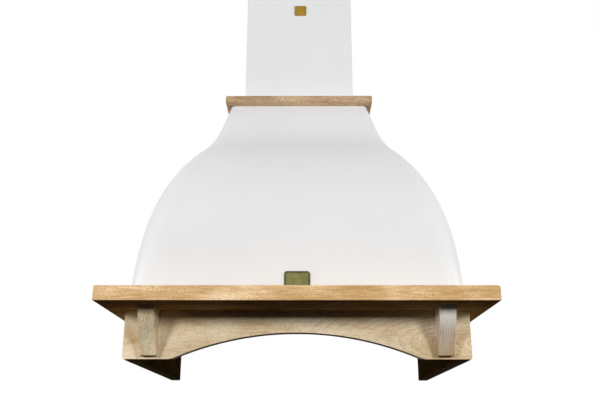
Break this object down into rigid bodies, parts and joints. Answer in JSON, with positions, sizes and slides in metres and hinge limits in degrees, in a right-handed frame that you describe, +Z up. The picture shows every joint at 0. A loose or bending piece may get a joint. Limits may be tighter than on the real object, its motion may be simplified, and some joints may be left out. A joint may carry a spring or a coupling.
{
  "type": "wall chimney cooker hood",
  "caption": "Wall-hung cooker hood: white steel bell and chimney with a beech shelf, arched apron, corbels and collar; filter, lamps, keys and fan inside.",
  "frame": {"origin": "on the wall plane, midway between the two holes that the hood hangs by", "axes": "+Z up, +X to the right seen from the front, +Y into the wall; the front faces -Y"},
  "size_m": [0.6, 0.54, 0.9195],
  "materials": {
    "beech_shelf": "satin lacquer",
    "beech_apron": "satin lacquer",
    "beech_corbel": "satin lacquer",
    "beech_collar": "satin lacquer",
    "beech_tenon": "sawn",
    "zinc_screws": "zinc plated",
    "white_paint": "satin",
    "zinc_sheet": "galvanised",
    "plate_gold": "satin",
    "plate_bronze": "satin",
    "filter_aluminium": "satin",
    "mesh_aluminium": "expanded mesh",
    "latch_plastic": "fine texture",
    "black_rubber": "matt",
    "grey_plastic": "moulded",
    "damper_plastic": "moulded",
    "pin_steel": "ground",
    "wheel_steel": "galvanised",
    "black_plastic": "moulded",
    "motor_paint": "satin",
    "can_aluminium": "drawn",
    "lamp_chrome": "polished",
    "lamp_glass": "frosted",
    "lamp_aluminium": "cast",
    "control_plastic": "fine texture",
    "key_plastic": "gloss"
  },
  "bodies": {
    "hood": {"apron_side_left": "beech_apron", "apron_side_right": "beech_apron", "arched_apron": "beech_apron", "back_panel": "zinc_sheet", "blower_brackets": "zinc_sheet", "bottom_panel": "white_paint", "cable_gland": "black_rubber", "capacitor": "can_aluminium", "chimney_angles": "zinc_sheet", "chimney_lower": "white_paint", "chimney_plate": "plate_gold", "chimney_screws": "zinc_screws", "collar_front": "beech_collar", "collar_screws": "zinc_screws", "collar_side_left": "beech_collar", "collar_side_right": "beech_collar", "control_housing": "control_plastic", "corbel_left": "beech_corbel", "corbel_right": "beech_corbel", "corbel_screws": "zinc_screws", "damper_pin": "pin_steel", "dome_plate": "plate_bronze", "dome_shell": "white_paint", "electrics_box": "black_plastic", "lamp_bezel_left": "lamp_chrome", "lamp_bezel_right": "lamp_chrome", "lamp_body_left": "lamp_aluminium", "lamp_body_right": "lamp_aluminium", "lamp_lens_left": "lamp_glass", "lamp_lens_right": "lamp_glass", "motor_body": "motor_paint", "motor_bracket": "zinc_sheet", "outlet_adapter": "grey_plastic", "outlet_spigot": "grey_plastic", "panel_screws": "zinc_screws", "scroll_left": "grey_plastic", "scroll_right": "grey_plastic", "shelf_front_board": "beech_shelf", "shelf_screws": "zinc_screws", "shelf_side_board_left": "beech_shelf", "shelf_side_board_right": "beech_shelf", "timber_tenons": "beech_tenon", "top_plate": "zinc_sheet", "top_screws": "zinc_screws"},
    "chimney_top": {"chimney_upper": "white_paint", "chimney_bracket": "zinc_sheet", "bracket_screws": "zinc_screws"},
    "filter": {"filter_frame": "filter_aluminium", "filter_mesh": "mesh_aluminium"},
    "latch": {"filter_latch": "latch_plastic"},
    "rotor": {"impeller": "wheel_steel", "impeller_blades": "wheel_steel", "motor_shaft": "pin_steel"},
    "damper_front": {"damper_flap_front": "damper_plastic"},
    "damper_rear": {"damper_flap_rear": "damper_plastic"},
    "push_key_1": {"key_1": "key_plastic"},
    "push_key_2": {"key_2": "key_plastic"},
    "push_key_3": {"key_3": "key_plastic"},
    "push_key_4": {"key_4": "key_plastic"},
    "push_key_5": {"key_5": "key_plastic"}
  },
  "joints": [
    {"name": "chimney_slide", "type": "slide", "parent": "hood", "child": "chimney_top", "axis": [0, 0, 1], "range_m": [0, 0.27]},
    {"name": "filter_hinge", "type": "hinge", "parent": "hood", "child": "filter", "pos_m": [0, -0.055, -0.3405], "axis": [1, 0, 0], "range_deg": [0, 70]},
    {"name": "latch_slide", "type": "slide", "parent": "filter", "child": "latch", "axis": [0, 1, 0], "range_m": [0, 0.005], "stiffness_N_per_m": 300, "springref_m": -0.003},
    {"name": "impeller_spin", "type": "hinge", "parent": "hood", "child": "rotor", "pos_m": [0, -0.16, -0.09], "axis": [1, 0, 0], "continuous": true},
    {"name": "damper_front_hinge", "type": "hinge", "parent": "hood", "child": "damper_front", "pos_m": [0, -0.092, 0.124], "axis": [-1, 0, 0], "range_deg": [0, 80]},
    {"name": "damper_rear_hinge", "type": "hinge", "parent": "hood", "child": "damper_rear", "pos_m": [0, -0.092, 0.124], "axis": [1, 0, 0], "range_deg": [0, 80]},
    {"name": "key_1_press", "type": "slide", "parent": "hood", "child": "push_key_1", "axis": [0, 0, 1], "range_m": [0, 0.003], "stiffness_N_per_m": 400, "springref_m": -0.002},
    {"name": "key_2_press", "type": "slide", "parent": "hood", "child": "push_key_2", "axis": [0, 0, 1], "range_m": [0, 0.003], "stiffness_N_per_m": 400, "springref_m": -0.002},
    {"name": "key_3_press", "type": "slide", "parent": "hood", "child": "push_key_3", "axis": [0, 0, 1], "range_m": [0, 0.003], "stiffness_N_per_m": 400, "springref_m": -0.002},
    {"name": "key_4_press", "type": "slide", "parent": "hood", "child": "push_key_4", "axis": [0, 0, 1], "range_m": [0, 0.003], "stiffness_N_per_m": 400, "springref_m": -0.002},
    {"name": "key_5_press", "type": "slide", "parent": "hood", "child": "push_key_5", "axis": [0, 0, 1], "range_m": [0, 0.003], "stiffness_N_per_m": 400, "springref_m": -0.002}
  ]
}
